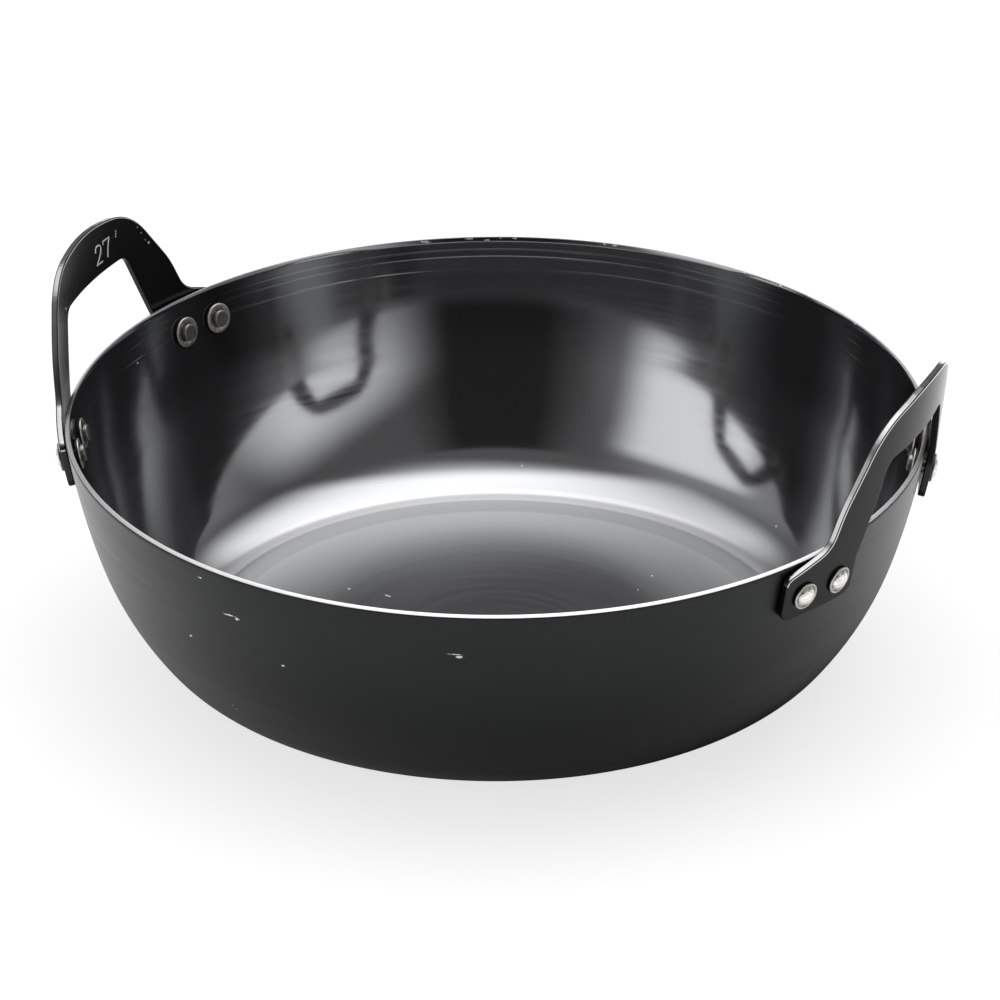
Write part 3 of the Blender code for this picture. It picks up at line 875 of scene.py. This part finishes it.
def rolled(made, turn):
    """Rolls the flat plate to its seat on the bowl and turns it to its side of the pot."""
    bm = bmesh.new()
    bm.from_mesh(made.data)
    count = ceil(2 * FOOT_REACH / ROLL_STEP)
    cuts = [(Vector((FOOT_REACH * (2 * step / count - 1), 0, 0)), Vector((1, 0, 0)))
            for step in range(1, count)]
    cuts += [(Vector((0, -FOOT_DEPTH * step / FOOT_ROWS, 0)), Vector((0, 1, 0)))
             for step in range(FOOT_ROWS)]
    for place, normal in cuts:
        bmesh.ops.bisect_plane(bm, geom=bm.verts[:] + bm.edges[:] + bm.faces[:], dist=TINY / 100,
                               plane_co=place, plane_no=normal)
    # These leave no face without area where the cuts cross the stamped number
    bmesh.ops.dissolve_degenerate(bm, dist=TINY, edges=bm.edges[:])
    bmesh.ops.triangulate(bm, faces=bm.faces[:])
    bmesh.ops.dissolve_degenerate(bm, dist=TINY, edges=bm.edges[:])
    side = Matrix.Rotation(turn, 3, "Z")
    for vert in bm.verts:
        vert.co = side @ on_bowl(*vert.co)
    bm.to_mesh(made.data)
    bm.free()
    made.data.shade_smooth()
    made.data.set_sharp_from_angle(angle=PLATE_SHARP)
    made.modifiers.new("flat_faces", "WEIGHTED_NORMAL").keep_sharp = True
    return plain_mesh(made)


def handle(name, turn, finishes, number_finish=None):
    """One handle plate: stamped, punched, numbered if it has a finish for that, and rolled."""
    made = flat_plate(*finishes)
    made.name = name
    cut(made, hole_cutter())
    if number_finish:
        cut(made, number_cutter(number_finish))
    rolled(made, turn)
    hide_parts(name.replace("plate", "handle"))
    return made


def rivet_frames(rows):
    """(place, axis) of the rivets at these distances across, on both handles."""
    radius, height, slope = wall_place(RIVET_DROP - LIP_DROP, 0)
    frames = []
    for turn in (0, pi):
        for across in rows:
            angle = across / (OUTER_RIM + GAP) + turn
            outwards = Vector((cos(angle), sin(angle), 0))
            place = outwards * radius + Vector((0, 0, height))
            frames.append((place, outwards * cos(slope) - Vector((0, 0, sin(slope)))))
    return frames


def washer_back():
    """Depth of the washer's seat: a flat ring bridges the hollow of the round wall."""
    return WALL + (WASHER_DIAMETER / 2) ** 2 / (2 * OUTER_RIM) + GAP


def rivets(name, tree, rows, nodes, finishes):
    """Rivets from hammered tail to set head; z is 0 at the wall's outer face."""
    head = HEAD_DIAMETER / 2
    tail = TAIL_DIAMETER / 2
    shank = SHANK_DIAMETER / 2
    seat = stand_off(rows[0]) + PLATE + GAP
    tail_seat = -(washer_back() + WASHER_THICKNESS + GAP)
    tail_end = tail_seat - TAIL_HEIGHT
    profile = [(0, tail_end + TAIL_DISH), (0.5 * tail, tail_end + 0.3 * TAIL_DISH),
               (0.7 * tail, tail_end)]
    end_rows = len(profile)
    profile += arc((tail - TAIL_SHOULDER, tail_end + TAIL_SHOULDER), TAIL_SHOULDER, -90, 0, 6)
    profile += [(tail, tail_seat), (shank, tail_seat), (shank, seat), (head - CHAMFER, seat)]
    ring = HEAD_RING / 2
    profile += arc((head - ring, seat + HEAD_FLANGE - ring), ring, 0, 150, 9)
    dome = head - HEAD_RING - HEAD_GROOVE
    foot = seat + 0.25 * HEAD_FLANGE
    profile += [(dome + 0.6 * HEAD_GROOVE, foot)]
    flange_rows = len(profile)
    rise = seat + DOME_HEIGHT - foot
    quarter = [pi / 2 * step / DOME_STEPS for step in range(DOME_STEPS)]
    profile += [(dome * cos(turn), foot + rise * sin(turn)) for turn in quarter] + [(0, foot + rise)]
    made = turned_pieces(name, tree, profile, RIVET_STEPS, rivet_frames(rows), finishes,
                         (end_rows, flange_rows))
    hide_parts(*nodes)
    return made


def washers(tree, finishes):
    """Washers with a browned face, a rim round it brightened as a painted highlight, and a side and back
    darkened as painted shade.
    """
    hole = SHANK_DIAMETER / 2 + GAP
    outer = WASHER_DIAMETER / 2
    back = -washer_back()
    front = back - WASHER_THICKNESS
    profile = [(hole, back), (hole, front + CHAMFER), (hole + HOLE_EDGE, front)]
    face_rows = len(profile)
    profile += arc((outer - WASHER_EDGE, front + WASHER_EDGE), WASHER_EDGE, -90, 0, 6)
    rim_rows = len(profile) - 1
    profile += [(outer, back - CHAMFER), (outer - CHAMFER, back), (hole, back)]
    made = turned_pieces("washers", tree, profile, RIVET_STEPS, rivet_frames(rivet_rows()),
                         finishes, (face_rows, rim_rows))
    nodes = [f"washer_{side}_{number}" for side in ("right", "left") for number in (1, 2, 3, 4)]
    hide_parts(*nodes)
    return made


def facing(azimuth, elevation):
    """Direction at angles seen from the pot: azimuth 0 is the camera's, to its right is positive."""
    turn = CAMERA_AZIMUTH + azimuth
    return Vector((cos(turn) * cos(elevation), sin(turn) * cos(elevation), sin(elevation)))


def softbox(tree, towards, azimuth, elevation, roll, half_size, softness, brightness):
    """Light of a soft-edged rectangle that faces the pot; sizes are shares of its distance."""
    ahead = facing(radians(azimuth), radians(elevation))
    across = Vector((0, 0, 1)).cross(ahead).normalized()
    upwards = ahead.cross(across)
    turn = Matrix.Rotation(radians(roll), 3, ahead)
    depth = add_node(tree, "ShaderNodeVectorMath", (towards, ahead), operation="DOT_PRODUCT")
    depth = depth.outputs["Value"]
    light = brightness
    for axis, half, soft in zip((turn @ across, turn @ upwards), half_size, softness):
        offset = add_node(tree, "ShaderNodeVectorMath", (towards, axis), operation="DOT_PRODUCT")
        share = add_node(tree, "ShaderNodeMath", (offset.outputs["Value"], depth), operation="DIVIDE")
        share = add_node(tree, "ShaderNodeMath", (share,), operation="ABSOLUTE")
        inside = add_node(tree, "ShaderNodeMapRange", (share, half - soft, half + soft, 1.0, 0.0),
                          interpolation_type="SMOOTHSTEP")
        light = add_node(tree, "ShaderNodeMath", (light, inside), operation="MULTIPLY")
    return light


def studio_world():
    """A dim studio, darkest behind the camera, with soft boxes and a white horizon."""
    world = bpy.data.worlds.new("studio")
    bpy.context.scene.world = world
    world.use_nodes = True
    tree = world.node_tree
    towards = add_node(tree, "ShaderNodeTexCoord").outputs["Generated"]
    height = add_node(tree, "ShaderNodeSeparateXYZ", (towards,)).outputs["Z"]
    camera_side = add_node(tree, "ShaderNodeVectorMath", (towards, facing(0, 0)), operation="DOT_PRODUCT")
    beside = add_node(tree, "ShaderNodeVectorMath", (towards, facing(pi / 2, 0)), operation="DOT_PRODUCT")
    turn = add_node(tree, "ShaderNodeMath", (beside.outputs["Value"], camera_side.outputs["Value"]),
                    operation="ARCTAN2")
    turn = add_node(tree, "ShaderNodeMath", (turn,), operation="ABSOLUTE")
    walls = add_node(tree, "ShaderNodeMapRange", (turn, *DARK_SIDE, DARK_GREY, WALL_GREY))
    behind = add_node(tree, "ShaderNodeMapRange", (turn, *BACK_SIDE, 0.0, BACK_GREY - WALL_GREY))
    walls = add_node(tree, "ShaderNodeMath", (walls, behind), operation="ADD")
    above = add_node(tree, "ShaderNodeMapRange", (height, *CEILING_EDGE, 0.0, 1.0))
    light = add_node(tree, "ShaderNodeMix", {0: above, 2: walls, 3: CEILING_GREY})
    for box in SOFTBOXES:
        light = add_node(tree, "ShaderNodeMath", (light, softbox(tree, towards, *box)), operation="ADD")
    horizon = add_node(tree, "ShaderNodeMapRange", (height, *HORIZON_EDGE, 1.0, 0.0))
    light = add_node(tree, "ShaderNodeMath", (light, horizon), operation="MAXIMUM")
    background = tree.nodes["Background"]
    background.inputs["Color"].default_value = (1, 1, 1, 1)
    tree.links.new(light.outputs[0], background.inputs["Strength"])


def studio_floor():
    """Plain white floor that keeps a soft shadow; the pot mirrors it with a painted shadow round its
    foot.
    """
    bm = bmesh.new()
    bmesh.ops.create_circle(bm, cap_ends=True, segments=64, radius=FLOOR_RADIUS,
                            matrix=Matrix.Translation((0, 0, -FLOOR_DROP)))
    mesh = bpy.data.meshes.new("floor")
    bm.to_mesh(mesh)
    bm.free()
    made = new_object("floor", mesh)
    material, tree, shader, place = new_material("matt_white_paper", "#a0a0a0", 0.0, 0.9)
    path = add_node(tree, "ShaderNodeLightPath").outputs
    glossy = add_node(tree, "ShaderNodeMath", (path["Is Glossy Ray"], path["Is Transmission Ray"]),
                      operation="MAXIMUM")
    # Painted shadow: as the pot mirrors it, the floor's glow is dark round the pot's foot
    middle = facing(pi / 2, 0) * SHADOW_ROUND_RIGHT - facing(0, 0) * SHADOW_ROUND_AWAY
    from_middle = add_node(tree, "ShaderNodeVectorMath", (place, middle), operation="SUBTRACT")
    away = add_node(tree, "ShaderNodeVectorMath", (from_middle,), operation="LENGTH").outputs["Value"]
    mirrored = add_node(tree, "ShaderNodeMapRange", (away, *SHADOW_ROUND_EDGE, 0.0, MIRRORED_FLOOR))
    mirrored = add_node(tree, "ShaderNodeMath", (mirrored, glossy), operation="MULTIPLY")
    direct = add_node(tree, "ShaderNodeMath", (path["Is Camera Ray"], DIRECT_FLOOR), operation="MULTIPLY")
    glow = add_node(tree, "ShaderNodeMath", (mirrored, direct), operation="MAXIMUM")
    shader.inputs["Emission Color"].default_value = (1, 1, 1, 1)
    tree.links.new(glow.outputs[0], shader.inputs["Emission Strength"])
    mesh.materials.append(material)


def add_camera():
    """The photograph's camera: a long lens from nearly three metres."""
    aim = Vector((0, 0, SHELL_HIGH.z))
    place = facing(0, CAMERA_ELEVATION) * CAMERA_DISTANCE
    forward = -place.normalized()
    right = forward.cross(Vector((0, 0, 1))).normalized()
    up = right.cross(forward)
    forward = (forward + tan(CAMERA_YAW) * right + tan(CAMERA_PITCH) * up).normalized()
    right = forward.cross(Vector((0, 0, 1))).normalized()
    up = right.cross(forward)
    turned_right = cos(CAMERA_ROLL) * right + sin(CAMERA_ROLL) * up
    turned_up = cos(CAMERA_ROLL) * up - sin(CAMERA_ROLL) * right
    camera = new_object("camera", bpy.data.cameras.new("camera"))
    axes = Matrix((turned_right, turned_up, -forward)).transposed().to_4x4()
    camera.matrix_world = Matrix.Translation(place + aim) @ axes
    camera.data.lens = CAMERA_LENS
    camera.data.sensor_width = SENSOR
    camera.data.clip_end = 50
    bpy.context.scene.camera = camera


def build():
    """Makes the pot's pieces and lets them all ride on its one body."""
    tree = turning_tree()
    pieces = [bowl(tree, outside_steel(), lip_steel(), inside_steel())]
    finishes = (plate_steel(), edge_steel())
    pieces.append(handle("plate_right", 0, finishes))
    pieces.append(handle("plate_left", pi, finishes, stamped_steel()))
    rows = rivet_rows()
    rivet_finishes = (tail_steel(), flange_steel(), head_steel())
    # Face, rim brightened as painted highlight, and side and back darkened as painted shade
    washer_finishes = (washer_steel(), rim_steel(), painted_shade_washer_steel())
    for name, chosen in (("rivets_outer", (0, 3)), ("rivets_inner", (1, 2))):
        nodes = [f"rivet_{side}_{index + 1}" for side in ("right", "left") for index in chosen]
        pieces.append(rivets(name, tree, [rows[index] for index in chosen], nodes, rivet_finishes))
    pieces.append(washers(tree, washer_finishes))
    for piece in pieces:
        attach(piece, "root")


build()
studio_floor()
studio_world()
add_camera()
bpy.context.scene.view_settings.view_transform = "Standard"
